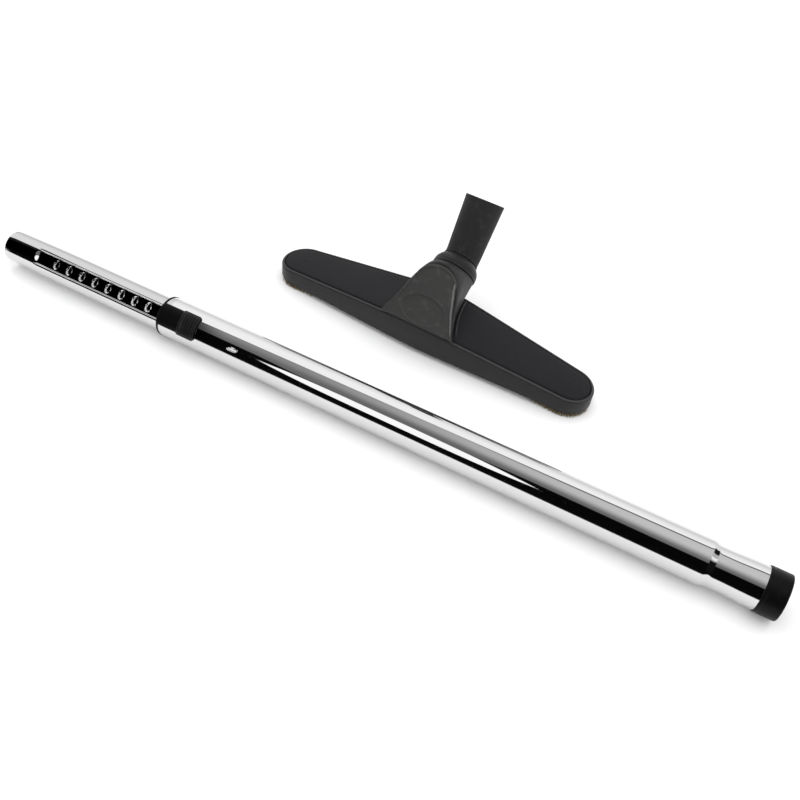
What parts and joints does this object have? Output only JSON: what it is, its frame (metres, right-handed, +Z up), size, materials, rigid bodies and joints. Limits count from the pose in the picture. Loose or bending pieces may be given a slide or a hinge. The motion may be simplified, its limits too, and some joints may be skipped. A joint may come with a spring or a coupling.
{
  "type": "telescopic vacuum wand and floor tool",
  "caption": "Telescopic chromed vacuum wand with a sliding lock, laid beside a wide hard-floor brush tool with a swivelling elbow socket.",
  "frame": {"origin": "on the floor, under the middle of the pair's overall box", "axes": "+X along the wand towards its hose end, +Y from the wand towards the floor tool, +Z up"},
  "size_m": [0.746, 0.2504, 0.1191],
  "materials": {
    "chromed_steel": "mirror chrome plate with fine handling marks",
    "lock_plastic": "semi-gloss black moulding",
    "collar_plastic": "semi-gloss black moulding",
    "base_plastic": "fine-textured charcoal moulding",
    "hood_plastic": "matt grey-black moulding",
    "bristle": "dark brown bristle with pale tips",
    "pale_nylon": "natural nylon",
    "felt": "dark felt washer",
    "small_steel": "zinc-plated steel"
  },
  "bodies": {
    "wand_outer": {"wand_outer_tube": "chromed_steel", "guide_bush": "lock_plastic", "roller_leaf_spring": "small_steel", "slider_return_spring": "small_steel", "end_collar": "collar_plastic"},
    "wand_inner": {"wand_inner_tube": "chromed_steel", "inner_guide_sleeve": "pale_nylon"},
    "lock_slider": {"release_slider": "lock_plastic"},
    "lock_pin": {"lock_roller": "small_steel"},
    "floor_tool": {"base_housing": "base_plastic", "hood_rear_shell": "hood_plastic", "hood_front_panel": "hood_plastic", "swivel_collar": "hood_plastic", "swivel_seal": "felt", "sole_frame": "base_plastic", "brush_ring": "base_plastic", "front_bristles": "bristle", "rear_bristles": "bristle", "left_bristles": "bristle", "right_bristles": "bristle", "sole_screw_1": "small_steel", "sole_screw_2": "small_steel", "sole_screw_3": "small_steel", "sole_screw_4": "small_steel", "sole_screw_5": "small_steel", "sole_screw_6": "small_steel"},
    "elbow": {"elbow_tube": "hood_plastic"}
  },
  "joints": [
    {"name": "telescope_slide", "type": "slide", "parent": "wand_outer", "child": "wand_inner", "axis": [1, 0, 0], "range_m": [-0.2464, 0.154]},
    {"name": "slider_travel", "type": "slide", "parent": "wand_outer", "child": "lock_slider", "axis": [-1, 0, 0], "range_m": [0, 0.004], "stiffness_N_per_m": 200, "springref_m": 0.006},
    {"name": "roller_drop", "type": "slide", "parent": "wand_outer", "child": "lock_pin", "axis": [0, 0.6947, -0.7193], "range_m": [0, 0.0013]},
    {"name": "tool_lift", "type": "slide", "parent": "wand_outer", "child": "floor_tool", "axis": [0, 0, 1], "range_m": [0, 0.3]},
    {"name": "elbow_swivel", "type": "hinge", "parent": "floor_tool", "child": "elbow", "pos_m": [0.01563, 0.07357, 0.059], "axis": [0.0483, 0.8647, 0.5], "continuous": true}
  ],
  "couplings": [
    {"joint": "roller_drop", "follows": "slider_travel", "ratio": 0.325}
  ]
}
